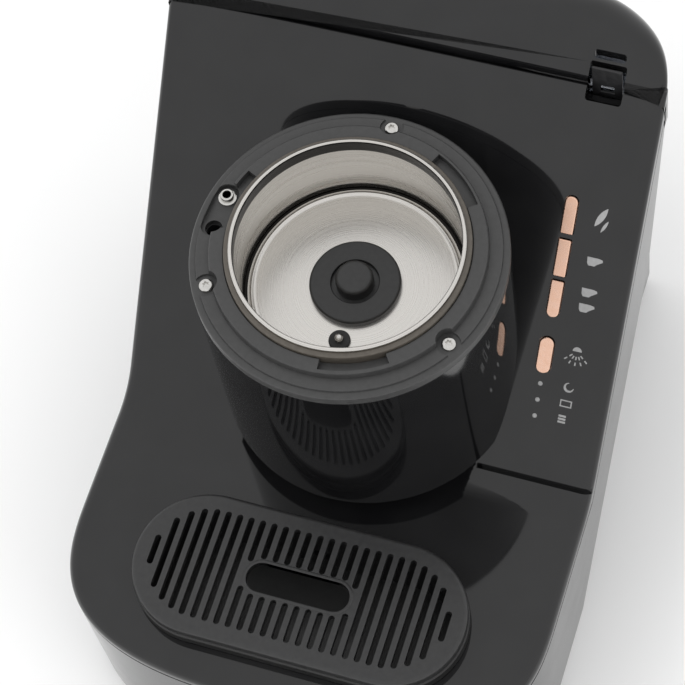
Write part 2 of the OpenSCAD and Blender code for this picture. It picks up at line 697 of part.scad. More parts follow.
module tank_socket() color([0.15, 0.15, 0.15]) translate([valve_x, valve_y, 0]) difference() {
    union() {
        rod(10.8, ledge_h - 18, ledge_h - 0.2);
        rod(3, ledge_h - 24, ledge_h - 17);
    }
    rod(8.4, ledge_h - 15, ledge_h + 1);
    rod(1.8, ledge_h - 25, ledge_h - 14);
}

module inlet_filter() color([0.6, 0.6, 0.6]) translate([valve_x, valve_y, 0]) difference() {
    rod(8.3, ledge_h - 15, ledge_h - 13.8);
    for (a = [0:5]) rotate(60 * a) translate([4.5, 0, 0]) rod(1.2, ledge_h - 20, ledge_h);
}

// Water system and electrics in the base
module flow_meter() color([0.85, 0.85, 0.85]) translate([valve_x, meter_y, 0]) {
    rod(5, plate_z, ledge_h - 24);
}

module inlet_hose() color([0.9, 0.9, 0.88]) pipe([[valve_x, meter_y - 5, plate_z + 4],
    [valve_x, pump_y + 44, plate_z + 8], [valve_x, pump_y + 32, pump_z]], 2.5);

module pump_body() color([0.2, 0.2, 0.22]) translate([pump_x, pump_y, pump_z]) rotate([-90, 0, 0])
    difference() {
        union() {
            tube(7, 4.2, -30, 28);
            rod(7, -30, -26);
            rod(7, 24, 28);
            rod(4, -36, -29);
            rod(4, 27, 32);
        }
        rod(1.5, -40, 40);
    }

module pump_coil() color([0.6, 0.3, 0.12]) translate([pump_x, pump_y, pump_z]) difference() {
    box([-pump_r, -16, -17], [pump_r, 16, 17]);
    rotate([-90, 0, 0]) rod(7, -20, 20);
}

module pump_piston() color([0.75, 0.75, 0.75]) translate([pump_x, pump_y, pump_z])
    rotate([-90, 0, 0]) tube(4.2 - slip, 1.6, -18, 16);

module pump_bracket() color([0.1, 0.1, 0.1]) translate([pump_x, pump_y, 0]) for (y = [-1, 1])
    difference() {
        translate([-13, y * 20 - 2, plate_z]) cube([26, 4, pump_z + 2]);
        translate([0, 0, pump_z]) rotate([-90, 0, 0]) rod(7, -30, 30);
    }

module feed_hose() color([0.9, 0.9, 0.88]) {
    nipple = [socket_circle * cos(nipple_angle), chamber_y + socket_circle * sin(nipple_angle)];
    pipe([[pump_x, pump_y - 36, pump_z], [pump_x, pump_y - 44, pump_z], [nipple[0], nipple[1] - 24, pump_z],
        [nipple[0], nipple[1], pump_z + 24], [nipple[0], nipple[1], ring_z - 24]], 2.5);
}

module power_board() color([0.12, 0.4, 0.22]) translate([-40, 62, plate_z]) {
    box([-28, -26, 4], [28, 26, 5.6]);
    for (x = [-24, 24], y = [-22, 22]) translate([x, y, 0]) rod(2.5, 0, 4);
    box([-22, -18, 5.6], [0, 8, 24]);
    for (x = [8, 20]) translate([x, -12, 0]) rod(5, 5.6, 20);
    box([5, 4, 5.6], [23, 18, 15]);
}

module mains_inlet() color([0.08, 0.08, 0.08]) translate([-50, back_y - 3, 21]) difference() {
    union() {
        translate([0, 0.75, 0]) cube([31, 1.5, 23], center = true);
        translate([0, -8, 0]) cube([26.8, 16.01, 18.8], center = true);
    }
    translate([0, -6, 0]) cube([22, 16, 14], center = true);
    translate([0, 1, 0]) cube([22, 8, 14], center = true);
}

main_housing();
base_shell();
rear_shell();
base_plate();
rubber_feet();
base_screws();
chamber_housing();
top_ring();
ring_screws();
chamber_gasket();
brew_chamber();
heater_ring();
thermostat();
thermal_fuse();
hub_disc();
hub_nut();
valve_stopper();
valve_stem();
stopper_spring();
outlet_body();
solenoid_coil();
drain_tube();
temperature_probe();
probe_grommet();
socket_block();
water_nipple();
lid_switch();
tray_well();
drip_tray();
drip_grille();
button_strong();
button_one_cup();
button_two_cups();
button_clean();
status_lights();
panel_icons();
control_board();
tact_switches();
water_tank();
tank_cover();
cover_hinge_pin();
cover_latch();
tank_seal();
tank_valve();
tank_valve_spring();
valve_cage();
tank_socket();
inlet_filter();
flow_meter();
inlet_hose();
pump_body();
pump_coil();
pump_piston();
pump_bracket();
feed_hose();
power_board();
mains_inlet();
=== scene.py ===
import json
import math

import bmesh
import bpy
from mathutils import Matrix, Vector


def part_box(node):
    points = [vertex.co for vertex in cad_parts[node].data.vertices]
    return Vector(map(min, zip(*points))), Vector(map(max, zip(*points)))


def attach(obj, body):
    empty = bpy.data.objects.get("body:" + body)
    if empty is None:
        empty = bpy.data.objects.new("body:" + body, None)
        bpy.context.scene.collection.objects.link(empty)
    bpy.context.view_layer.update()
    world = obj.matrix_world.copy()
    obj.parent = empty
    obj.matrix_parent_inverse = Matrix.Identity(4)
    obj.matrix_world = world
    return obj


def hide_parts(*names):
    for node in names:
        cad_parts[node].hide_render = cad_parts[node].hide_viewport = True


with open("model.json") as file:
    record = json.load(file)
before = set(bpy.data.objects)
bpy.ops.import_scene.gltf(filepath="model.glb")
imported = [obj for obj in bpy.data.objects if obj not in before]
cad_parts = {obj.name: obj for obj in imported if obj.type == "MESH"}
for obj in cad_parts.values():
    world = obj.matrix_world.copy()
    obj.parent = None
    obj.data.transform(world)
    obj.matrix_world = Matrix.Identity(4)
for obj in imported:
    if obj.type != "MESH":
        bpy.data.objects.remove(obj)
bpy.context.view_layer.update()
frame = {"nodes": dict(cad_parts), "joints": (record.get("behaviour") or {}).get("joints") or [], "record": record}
record = frame["record"]
joints = {j["name"]: j for j in frame["joints"]}
MM = 0.001

# ---------------------------------------------------------------- sizes, all in metres
axis = joints["button_clean_press"]["axis"]
PANEL = math.atan2(axis[1], -axis[2])
TAN, SIN, COS = math.tan(PANEL), math.sin(PANEL), math.cos(PANEL)
WALL, SKIN, LIP, FRONT = 2.5 * MM, 3 * MM, 6 * MM, 60 * MM

lo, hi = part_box("main_housing")
SIDE, FRONT_Y, SEAM_Y, SEAM_Z = hi.x, lo.y, hi.y, hi.z
DECK = lo.z + LIP
FOOT_Y = SEAM_Y - (SEAM_Z - DECK) / TAN
LIP_V = LIP / COS

lo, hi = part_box("brew_chamber")
CY, RIM_Z, FLOOR_Z = (lo.y + hi.y) / 2, hi.z, lo.z + 0.8 * MM
BOWL = hi.x - 4.2 * MM
lo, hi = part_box("top_ring")
RING_R, RING_Z, TOP_Z = hi.x, lo.z, hi.z
FLANGE_Z = RING_Z + 4 * MM
lo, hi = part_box("base_shell")
FOOT_Z = lo.z
lo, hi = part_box("tank_cover")
BACK_Y, COVER_Z, COVER_FRONT = hi.y, lo.z, lo.y
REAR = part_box("rear_shell")[1].x
CHEEK = 57 * MM


def top_z(y):
    return DECK + max(0.0, y - FOOT_Y) * TAN


# ---------------------------------------------------------------- materials
def material(name, dark, light, rough, rough_to, scale=300, detail=3.0, metallic=0.0, bump=0.0,
             bump_scale=900, ior=1.5, transmission=0.0, stretch=None, centre=None, aniso=0.0, shade_band=None):
    """A procedural finish: noise moves the colour and the roughness between their two values.

    centre is a point on an upright axis that the streaks run round; the band's two radii from that axis bound a
    near-black ring of painted shade.
    """
    m = bpy.data.materials.new(name)
    m.use_nodes = True
    n, link = m.node_tree.nodes, m.node_tree.links.new
    shader = n["Principled BSDF"]
    coords = n.new("ShaderNodeTexCoord")
    where = coords.outputs["Object"]
    if centre is not None:
        # Streaks that run round an upright axis: the noise only sees the radius and the height
        moved = n.new("ShaderNodeVectorMath")
        moved.operation = "SUBTRACT"
        moved.inputs[1].default_value = centre
        flat = n.new("ShaderNodeVectorMath")
        flat.operation = "MULTIPLY"
        flat.inputs[1].default_value = (1, 1, 0)
        length = n.new("ShaderNodeVectorMath")
        length.operation = "LENGTH"
        split = n.new("ShaderNodeSeparateXYZ")
        mixed = n.new("ShaderNodeCombineXYZ")
        link(where, moved.inputs[0])
        link(moved.outputs[0], flat.inputs[0])
        link(flat.outputs[0], length.inputs[0])
        link(moved.outputs[0], split.inputs[0])
        link(length.outputs["Value"], mixed.inputs["X"])
        link(split.outputs["Z"], mixed.inputs["Z"])
        where = mixed.outputs[0]
    if stretch is not None:
        mapping = n.new("ShaderNodeMapping")
        mapping.inputs["Scale"].default_value = stretch
        link(where, mapping.inputs["Vector"])
        where = mapping.outputs[0]
    noise = n.new("ShaderNodeTexNoise")
    noise.inputs["Scale"].default_value = scale
    noise.inputs["Detail"].default_value = detail
    link(where, noise.inputs["Vector"])
    spread = n.new("ShaderNodeMapRange")
    spread.inputs["From Min"].default_value = 0.3
    spread.inputs["From Max"].default_value = 0.7
    link(noise.outputs["Fac"], spread.inputs["Value"])
    colour = n.new("ShaderNodeMix")
    colour.data_type = "RGBA"
    colour.inputs["A"].default_value = (*dark, 1)
    colour.inputs["B"].default_value = (*light, 1)
    link(spread.outputs["Result"], colour.inputs["Factor"])
    painted = colour.outputs["Result"]
    if shade_band is not None:
        # Painted shade: a near-black ring between two radii from the same upright axis
        in_shade_band = n.new("ShaderNodeMath")
        in_shade_band.operation = "COMPARE"
        in_shade_band.inputs[1].default_value = (shade_band[0] + shade_band[1]) / 2
        in_shade_band.inputs[2].default_value = (shade_band[1] - shade_band[0]) / 2
        link(length.outputs["Value"], in_shade_band.inputs[0])
        painted_shade = n.new("ShaderNodeMix")
        painted_shade.data_type = "RGBA"
        painted_shade.inputs["B"].default_value = (0.02, 0.019, 0.018, 1)
        link(in_shade_band.outputs[0], painted_shade.inputs["Factor"])
        link(painted, painted_shade.inputs["A"])
        painted = painted_shade.outputs["Result"]
    link(painted, shader.inputs["Base Color"])
    ramp = n.new("ShaderNodeMapRange")
    ramp.inputs["From Min"].default_value = 0.3
    ramp.inputs["From Max"].default_value = 0.7
    ramp.inputs["To Min"].default_value = rough
    ramp.inputs["To Max"].default_value = rough_to
    link(noise.outputs["Fac"], ramp.inputs["Value"])
    link(ramp.outputs["Result"], shader.inputs["Roughness"])
    if bump:
        grain = n.new("ShaderNodeTexNoise")
        grain.inputs["Scale"].default_value = bump_scale
        grain.inputs["Detail"].default_value = 2.0
        link(where, grain.inputs["Vector"])
        raised = n.new("ShaderNodeBump")
        raised.inputs["Strength"].default_value = 1.0
        raised.inputs["Distance"].default_value = bump
        link(grain.outputs["Fac"], raised.inputs["Height"])
        link(raised.outputs["Normal"], shader.inputs["Normal"])
    shader.inputs["Metallic"].default_value = metallic
    shader.inputs["IOR"].default_value = ior
    shader.inputs["Transmission Weight"].default_value = transmission
    shader.inputs["Anisotropic"].default_value = aniso
    return m


AXIS = (0, CY, FLOOR_Z)
FINISH = {
    "gloss_black": material("gloss_black", (0.006, 0.006, 0.0065), (0.009, 0.009, 0.0095), 0.04, 0.07, 60,
                            ior=1.52),
    "base_black": material("base_black", (0.007, 0.007, 0.0075), (0.011, 0.011, 0.0115), 0.1, 0.15, 80,
                           ior=1.5),
    "inner_black": material("inner_black", (0.012, 0.012, 0.013), (0.02, 0.02, 0.021), 0.45, 0.6, 500,
                            bump=0.00002),
    "rubber": material("rubber", (0.012, 0.012, 0.012), (0.02, 0.02, 0.02), 0.6, 0.75, 700, bump=0.00003),
    "steel_bright": material("steel_bright", (0.55, 0.54, 0.52), (0.66, 0.65, 0.63), 0.16, 0.26, 900,
                             metallic=1.0),
    "ring_satin": material("ring_satin", (0.036, 0.036, 0.036), (0.045, 0.045, 0.045), 0.34, 0.42, 500,
                           bump=0.000012, bump_scale=2500),
    "gasket": material("gasket", (0.075, 0.065, 0.053), (0.1, 0.088, 0.073), 0.35, 0.5, 600),
    # The bowl's steel carries painted shade: a near-black ring over the groove where its floor meets its wall
    "brushed_steel": material("brushed_steel", (0.56, 0.54, 0.51), (0.74, 0.72, 0.69), 0.22, 0.36, 1.0, 5.0,
                              metallic=1.0, bump=0.000012, bump_scale=1.0, stretch=(2600, 1, 700),
                              centre=AXIS, aniso=0.3, shade_band=(BOWL - 2.35 * MM, BOWL - 0.95 * MM)),
    "cast_aluminium": material("cast_aluminium", (0.4, 0.4, 0.4), (0.5, 0.5, 0.49), 0.4, 0.55, 500,
                               metallic=1.0, bump=0.00005),
    "ceramic": material("ceramic", (0.66, 0.64, 0.57), (0.74, 0.72, 0.66), 0.4, 0.5, 500),
    "hub_black": material("hub_black", (0.014, 0.014, 0.014), (0.022, 0.022, 0.022), 0.3, 0.4, 500),
    "knob_rubber": material("knob_rubber", (0.016, 0.016, 0.016), (0.024, 0.024, 0.024), 0.28, 0.38, 600),
    "copper_winding": material("copper_winding", (0.3, 0.09, 0.03), (0.5, 0.19, 0.08), 0.3, 0.4, 1.0,
                               metallic=0.6, stretch=(60, 60, 2500)),
    "silicone": material("silicone", (0.7, 0.69, 0.65), (0.78, 0.77, 0.73), 0.3, 0.4, 300),
    "white_plastic": material("white_plastic", (0.7, 0.7, 0.69), (0.77, 0.77, 0.76), 0.35, 0.45, 300),
    "tray_black": material("tray_black", (0.01, 0.01, 0.01), (0.016, 0.016, 0.016), 0.3, 0.4, 400),
    "grille_grey": material("grille_grey", (0.02, 0.02, 0.0205), (0.028, 0.028, 0.0285), 0.3, 0.38, 500,
                            bump=0.00001, bump_scale=2500),
    "rose_gold": material("rose_gold", (0.79, 0.5, 0.37), (0.87, 0.58, 0.45), 0.22, 0.3, 500,
                          metallic=1.0),
    "light_guide": material("light_guide", (0.3, 0.3, 0.3), (0.4, 0.4, 0.4), 0.2, 0.3, 900),
    "icon_grey": material("icon_grey", (0.34, 0.34, 0.34), (0.4, 0.4, 0.4), 0.5, 0.6, 900),
    "board_green": material("board_green", (0.02, 0.16, 0.06), (0.03, 0.22, 0.09), 0.3, 0.45, 700),
    "tank_smoke": material("tank_smoke", (0.22, 0.23, 0.25), (0.26, 0.27, 0.29), 0.04, 0.08, 60, ior=1.45,
                           transmission=0.9),
}


# ---------------------------------------------------------------- shapes, as (points, faces)
def join(*shapes):
    points, faces = [], []
    for p, f in shapes:
        base = len(points)
        points += list(p)
        faces += [[i + base for i in face] for face in f]
    return points, faces


def placed(shape, matrix):
    return [matrix @ Vector(p) for p in shape[0]], shape[1]


def rings(rows, round_trip=False, first_cap=True, last_cap=True):
    """Closed rings of equally many points, joined one to the next. round_trip joins the last to the first."""
    n, points, faces = len(rows[0]), [], []
    for row in rows:
        points += [Vector(p) for p in row]
    count = len(rows)
    for k in range(count if round_trip else count - 1):
        a, b = k * n, ((k + 1) % count) * n
        faces += [[a + i, a + (i + 1) % n, b + (i + 1) % n, b + i] for i in range(n)]
    if not round_trip:
        if first_cap:
            faces.append(list(range(n))[::-1])
        if last_cap:
            faces.append([(count - 1) * n + i for i in range(n)])
    return points, faces


def circle(r, n, x=0.0, y=0.0):
    return [(x + r * math.cos(2 * math.pi * i / n), y +
             r * math.sin(2 * math.pi * i / n)) for i in range(n)]


def lathe(profile, n=160, hollow=False):
    """profile is [(radius, height)]; hollow closes it on itself, otherwise both ends are capped."""
    return rings([[(x, y, z) for x, y in circle(r, n)] for r, z in profile], round_trip=hollow)


def bow(cx, cz, r, a0, a1, n=5):
    return [(cx + r * math.cos(math.radians(a0 + (a1 - a0) * i / n)), cz +
             r * math.sin(math.radians(a0 + (a1 - a0) * i / n)))
            for i in range(n + 1)]


def inset(points, d):
    out, n = [], len(points)
    for i in range(n):
        p, q, s = Vector(points[i - 1]), Vector(points[i]), Vector(points[(i + 1) % n])
        u, v = (q - p).normalized(), (s - q).normalized()
        m, k = Vector((-u.y, u.x)), Vector((-v.y, v.x))
        out.append(tuple(q + d * (m + k) / (1 + m.dot(k))))
    return out


def prism(outline, z0, z1, top=0.0, bottom=0.0, steps=4):
    """An upright prism on an anticlockwise outline, with rounded edges."""
    rows = []
    if bottom:
        for i in range(steps + 1):
            f = math.pi / 2 * i / steps
            rows.append((bottom * (1 - math.sin(f)), z0 + bottom * (1 - math.cos(f))))
    else:
        rows.append((0.0, z0))
    if top:
        for i in range(steps + 1):
            f = math.pi / 2 * i / steps
            rows.append((top * (1 - math.cos(f)), z1 - top * (1 - math.sin(f))))
    else:
        rows.append((0.0, z1))
    return rings([[(x, y, z) for x, y in (inset(outline, d) if d > 1e-9 else outline)] for d, z in rows])


def stadium(length, width, y=0.0, n=32):
    h, r = (length - width) / 2, width / 2
    return [(h + r * math.cos(t), y + r * math.sin(t)) for t in (math.pi * (i / n - 0.5) for i in range(n +
            1))] + \
        [(-h + r * math.cos(t), y + r * math.sin(t)) for t in (math.pi * (i / n + 0.5) for i in range(n +
                1))]


def rounded(x0, y0, x1, y1, r, n=6):
    out = []
    for cx, cy, a in ((x1 - r, y1 - r, 0), (x0 + r, y1 - r, 90), (x0 + r, y0 + r, 180),
                      (x1 - r, y0 + r, 270)):
        out += bow(cx, cy, r, a, a + 90, n)
    return out


def across(outline, x0, x1):
    """A prism along X on an outline of (y, z) points."""
    return rings([[(x, y, z) for y, z in outline] for x in (x0, x1)])


def make(name, shape):
    mesh = bpy.data.meshes.new(name)
    mesh.from_pydata([tuple(p) for p in shape[0]], [], shape[1])
    b = bmesh.new()
    b.from_mesh(mesh)
    bmesh.ops.recalc_face_normals(b, faces=b.faces)
    b.to_mesh(mesh)
    b.free()
    obj = bpy.data.objects.new(name, mesh)
    bpy.context.scene.collection.objects.link(obj)
    return obj


def carve(obj, *shapes, keep=False, solver="EXACT"):
    """Takes each shape out of obj, or keeps only what is inside it."""
    for shape in shapes:
        tool = make(obj.name + "_tool", shape)
        mod = obj.modifiers.new("cut", "BOOLEAN")
        mod.operation, mod.solver, mod.object = "INTERSECT" if keep else "DIFFERENCE", solver, tool
        bpy.context.view_layer.update()
        mesh = bpy.data.meshes.new_from_object(obj.evaluated_get(bpy.context.evaluated_depsgraph_get()))
        obj.modifiers.clear()
        obj.data = mesh
        bpy.data.objects.remove(tool)
    return obj


def merge(obj, other):
    """Moves the faces of other into obj."""
    b = bmesh.new()
    b.from_mesh(obj.data)
    b.from_mesh(other.data)
    b.to_mesh(obj.data)
    b.free()
    bpy.data.objects.remove(other)


def finish(obj, slot, nodes, body="machine", bevel=0.0, angle=32):
    """Shades the piece, gives it its finish, and seats it on its body in place of its CAD nodes."""
    mesh = obj.data
    mesh.shade_smooth()
    mesh.set_sharp_from_angle(angle=math.radians(angle))
    if bevel:
        mod = obj.modifiers.new("edges", "BEVEL")
        mod.width, mod.segments, mod.limit_method, mod.angle_limit = bevel, 2, "ANGLE", math.radians(40)
        mod.use_clamp_overlap = True
    mod = obj.modifiers.new("normals", "WEIGHTED_NORMAL")
    mod.keep_sharp = True
    mesh.materials.clear()
    mesh.materials.append(FINISH[slot])
    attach(obj, body)
    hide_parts(*nodes)
    return obj


def from_cad(node, slot, body="machine", bevel=0.0):
    """A welded, shaded copy of a CAD node, with softened edges."""
    mesh = frame["nodes"][node].data.copy()
    b = bmesh.new()
    b.from_mesh(mesh)
    bmesh.ops.remove_doubles(b, verts=b.verts, dist=2e-6)
    bmesh.ops.dissolve_limit(b, angle_limit=math.radians(0.6), verts=b.verts, edges=b.edges,
                             delimit={"NORMAL"})
    b.to_mesh(mesh)
    b.free()
    if mesh.has_custom_normals:
        mesh.attributes.remove(mesh.attributes["custom_normal"])
    obj = bpy.data.objects.new("soft_" + node, mesh)
    bpy.context.scene.collection.objects.link(obj)
    return finish(obj, slot, [node], body, bevel)


UP = Matrix.Translation((0, CY, 0))
ON_PANEL = Matrix.Translation((0, FOOT_Y, DECK)) @ Matrix.Rotation(PANEL, 4, "X")


# ---------------------------------------------------------------- housing
def front_curve(n=96):
    """The front's outline seen from above, a superellipse from the left side round to the right."""
    out = []
    for i in range(n + 1):
        t = math.pi * (1 + i / n)
        c, s = math.cos(t), math.sin(t)
        out.append((SIDE * math.copysign(abs(c) ** (2 / 3), c),
                    FRONT_Y + FRONT * (1 - abs(s) ** (2 / 3))))
    return out


BREAK_Y = FOOT_Y + LIP * math.tan(PANEL / 2)
BLEND = 24 * MM
BLEND_Y = FOOT_Y - BLEND * math.tan(PANEL / 2)
blend_side = sorted([BREAK_Y] + [BLEND_Y + BLEND * math.sin(PANEL * k / 12) for k in range(13)])
PLAN = [(SIDE, SEAM_Y), (-SIDE, SEAM_Y)] + [(-SIDE, y) for y in blend_side[::-1]]
PLAN += front_curve() + [(SIDE, y) for y in blend_side]


def skin_z(y):
    """The deck runs up into the panel in a wide hollow curve."""
    if y <= BLEND_Y:
        return DECK
    if y < BLEND_Y + BLEND * SIN:
        return DECK + BLEND - math.sqrt(BLEND ** 2 - (y - BLEND_Y) ** 2)
    return top_z(y)


def lip_z(y):
    return DECK - LIP if y <= BREAK_Y + 1e-6 else top_z(y) - LIP_V


def under_z(y):
    share = min(1.0, max(0.0, (y - BLEND_Y) / (BLEND * SIN)))
    return skin_z(y) - SKIN * (1 + share * (1 / COS - 1))


EDGE = 4 * MM
rows = [[(x, y, lip_z(y)) for x, y in inset(PLAN, WALL)],
        [(x, y, lip_z(y)) for x, y in inset(PLAN, 0.3 * MM)],
        [(x, y, lip_z(y) + 0.3 * MM) for x, y in PLAN]]
for i in range(7):
    f = math.pi / 2 * i / 6
    outline, drop = inset(PLAN, EDGE * (1 - math.cos(f))), EDGE * (1 - math.sin(f))
    rows.append([(x, y, skin_z(y) - drop) for x, y in outline])
rows.append([(x, y, under_z(y)) for x, y in inset(PLAN, WALL)])
count = len(PLAN)
points, faces = rings(rows[:-1], first_cap=False, last_cap=False)
top = (len(rows) - 2) * count
points += [Vector(p) for p in rows[-1]]
low = (len(rows) - 1) * count
faces += [[i, (i + 1) % count, low + (i + 1) % count, low + i] for i in range(count)]
sides = len(blend_side)
strips = [[k + 1, k + 2, (count - k - 1) % count, (count - k) % count] for k in range(sides)]
strips.append(list(range(sides + 1, count - sides + 1)))
for base in (top, low):
    faces += [[base + i for i in strip] for strip in strips]
housing = make("housing", (points, faces))
tray_lo, tray_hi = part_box("drip_tray")
TRAY_Y = (tray_lo.y + tray_hi.y) / 2
TRAY_L, TRAY_W = tray_hi.x - tray_lo.x, tray_hi.y - tray_lo.y
TUB_L, TUB_W = TRAY_L - 7 * MM, TRAY_W - 7 * MM
# The deck is open under the chamber and under the tray, and the panel behind the chamber is cut to its tube
DECK_HOLE, PANEL_HOLE, TUB_ROOM, CUT_DEPTH = 46.5 * MM, 52 * MM, 2 * MM, 9 * MM
carve(housing, placed(prism(circle(DECK_HOLE, 96), 0, SEAM_Z), UP),
      prism(stadium(TUB_L + TUB_ROOM, TUB_W + TUB_ROOM, TRAY_Y), DECK - CUT_DEPTH, DECK + CUT_DEPTH))
chord = math.degrees(math.asin((FOOT_Y + 8 * MM - CY) / PANEL_HOLE))
carve(housing, prism(bow(0, CY, PANEL_HOLE, chord, 180 - chord, 64), 0, SEAM_Z))

BUTTONS = {}
for name in ("button_strong", "button_one_cup", "button_two_cups", "button_clean"):
    lo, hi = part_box(name)
    c = ON_PANEL.inverted() @ ((lo + hi) / 2)
    BUTTONS[name] = (c.x, c.y)
BUTTON_L, BAR_W, SINGLE_W = 14.2 * MM, 4.7 * MM, 5.4 * MM
# Whether a key is fully round at its low end and at its high end
ROUND_ENDS = {"button_strong": (False, True), "button_one_cup": (False, False),
              "button_two_cups": (True, False), "button_clean": (True, True)}
BUTTON_X = BUTTONS["button_clean"][0]


def key_outline(name, extra=0.0):
    """A key's outline on the panel: round at the ends of a row, square where it meets the next key."""
    x, s = BUTTONS[name]
    w = (SINGLE_W if name == "button_clean" else BAR_W) / 2 + extra
    l = BUTTON_L / 2 + extra
    low, high = (0.97 * w if full else 0.6 * MM + extra for full in ROUND_ENDS[name])
    corners = ((1, 1, high, 0), (-1, 1, high, 90), (-1, -1, low, 180), (1, -1, low, 270))
    out = []
    for sx, sy, r, start in corners:
        out += bow(x + sx * (w - r), s + sy * (l - r), r, start, start + 90, 10)
    return out


KEY_GAP, SEAM_DEPTH = 0.25 * MM, 1.4 * MM
LATCH_X0, LATCH_X1 = BUTTON_X - 2 * MM, BUTTON_X + 11 * MM
tools = [placed(prism(key_outline(k, KEY_GAP), -8 * MM, 3 * MM), ON_PANEL) for k in BUTTONS]
seam = rounded(48 * MM, 3 * MM, 1.4 * SIDE, 5 * MM, 0.3 * MM, 2)
tools.append(placed(prism(seam, -SEAM_DEPTH, 4 * MM), ON_PANEL))
tools.append(prism(rounded(LATCH_X0, SEAM_Y - 5 * MM, LATCH_X1, SEAM_Y + 5 * MM, 1 * MM, 3),
                   SEAM_Z - CUT_DEPTH, SEAM_Z + CUT_DEPTH))
carve(housing, *tools)
finish(housing, "gloss_black", ["main_housing"])

# Base shell: a section swept along the plan from the left cheek round the front to the right cheek
TOE = (FOOT_Y + (FOOT_Z - DECK + CHEEK) / TAN, FOOT_Z)
HEEL = (SEAM_Y - 24 * MM, top_z(SEAM_Y - 24 * MM) - CHEEK)
END = (SEAM_Y, SEAM_Z - LIP_V - 6 * MM)


def low_z(y):
    if y <= TOE[0] + 1e-6:
        return FOOT_Z
    a, b = (TOE, HEEL) if y <= HEEL[0] else (HEEL, END)
    return a[1] + (b[1] - a[1]) * (y - a[0]) / (b[0] - a[0])


side_y = [SEAM_Y, HEEL[0], BREAK_Y, FOOT_Y, TOE[0]]
path = [(-SIDE, y) for y in side_y] + front_curve() + [(SIDE, y) for y in side_y[::-1]]
ROUND = 2.2 * MM
# Each point of the section is its distance in from the plan, its height above an edge, and which edge:
# 0 for the lower one and 1 for the upper one
section = [(WALL, 0.0, 0.0), (ROUND, 0.0, 0.0)]
for a in (22, 45, 68, 90):
    section.append((ROUND * (1 - math.sin(math.radians(a))), ROUND * (1 - math.cos(math.radians(a))), 0.0))
section += [(0.0, -1.1 * MM, 1.0), (0.25 * MM, -0.85 * MM, 1.0), (0.7 * MM, -0.75 * MM, 1.0),
            (0.7 * MM, 0.0, 1.0), (WALL, 0.0, 1.0)]
layers = {d: inset(path, d) for d in {s[0] for s in section}}
sweep = []
for i, (x, y) in enumerate(path):
    row = []
    for d, dz, at_top in section:
        px, py = layers[d][i] if d else (x, y)
        py = y if abs(y - SEAM_Y) < 1e-6 else py
        px = math.copysign(SIDE - d, x) if abs(y - SEAM_Y) < 1e-6 else px
        row.append((px, py, (lip_z(y) if at_top else low_z(y)) + dz))
    sweep.append(row)
cheek = [TOE, HEEL, END, (END[0] - 2.4 * MM, END[1] + 2 * MM), (HEEL[0] - 2.4 * MM, HEEL[1] + 1.5 * MM),
         (TOE[0] - 3.2 * MM, TOE[1])]
cheeks = [across(cheek, s * (REAR + 0.3 * MM), s * (SIDE - WALL)) for s in (-1, 1)]
base = make("base", join(rings(sweep), *cheeks))
finish(base, "base_black", ["base_shell"])

# Tank cover: the side walls round softly and the back rolls over in a large radius
ROLL, CORNER = 12 * MM, 34 * MM


def cover_ring(w, front_r, steps):
    """One skin of the cover, w in from its outside, as rows of points from its foot up over the edge."""
    spots = []
    for cx, cy, r, a0, n in ((SIDE - front_r, COVER_FRONT + front_r, front_r, -90, 5),
                             (SIDE - CORNER, BACK_Y - CORNER, CORNER, 0, 28),
                             (CORNER - SIDE, BACK_Y - CORNER, CORNER, 90, 28),
                             (front_r - SIDE, COVER_FRONT + front_r, front_r, 180, 5)):
        shift = w if r == front_r else 0.0
        for i in range(n + 1):
            a = math.radians(a0 + 90 * i / n)
            nx, ny = math.cos(a), math.sin(a)
            x = cx - math.copysign(shift, cx) + (r - (0 if shift else w)) * nx
            y = cy + shift + (r - (0 if shift else w)) * ny
            t = max(0.0, ny)
            big = 2 * MM + (ROLL - 2 * MM) * t * t * (3 - 2 * t) if ny >= 0 else 1.2 * MM
            spots.append((x, y, nx, ny, max(big - w, 0.4 * MM)))
    rows = []
    for k in range(steps + 1):
        row = []
        for x, y, nx, ny, r in spots:
            g = -ny * TAN
            turn = math.pi / 2 - math.atan(g)
            f = turn * k / steps
            end = r * (1 - math.cos(turn))
            zc = top_z(y) - w / COS + g * end - r * math.sin(turn)
            d = r * (1 - math.cos(f))
            row.append((x - nx * d, y - ny * d, zc + r * math.sin(f)))
        rows.append(row)
    foot = [[(x, y, COVER_Z) for x, y, *_ in spots]]
    return foot + rows


outer, inner = cover_ring(0.0, 1.5 * MM, 16), cover_ring(WALL, 0.6 * MM, 8)
cover = make("cover", rings(inner[::-1] + outer))
latch_room = rounded(LATCH_X0, SEAM_Y - 1 * MM, LATCH_X1, SEAM_Y + 4.8 * MM, 0.8 * MM, 3)
slot_x0, slot_x1 = LATCH_X0 + 0.8 * MM, LATCH_X1 - 0.8 * MM
latch_slot = rounded(slot_x0, SEAM_Y + 5.5 * MM, slot_x1, SEAM_Y + 7.7 * MM, 1.0 * MM, 4)
carve(cover, prism(latch_room, SEAM_Z - 13 * MM, SEAM_Z + 16 * MM),
      prism(latch_slot, SEAM_Z - 4 * MM, SEAM_Z + 26 * MM), solver="MANIFOLD")
pin = joints["cover_hinge"]["pos_m"]
PIN_Y, PIN_Z = pin[1], pin[2]
LUG_X, LUG_R, LUG_HALF, PIN_BORE = 45 * MM, 3.5 * MM, 2 * MM, 1.55 * MM
lug = [(PIN_Y + LUG_R, PIN_Z + 24 * MM), (PIN_Y - LUG_R, PIN_Z + 27 * MM)]
lug += bow(PIN_Y, PIN_Z, LUG_R, 180, 360, 12)
bore = across(bow(PIN_Y, PIN_Z, PIN_BORE, 0, 345, 23), -SIDE, SIDE)
lugs = [across(lug, s * LUG_X - LUG_HALF, s * LUG_X + LUG_HALF) for s in (-1, 1)]
lugs = make("cover_lugs", join(*lugs))
carve(lugs, bore)
merge(cover, lugs)
finish(cover, "gloss_black", ["tank_cover"], "cover")

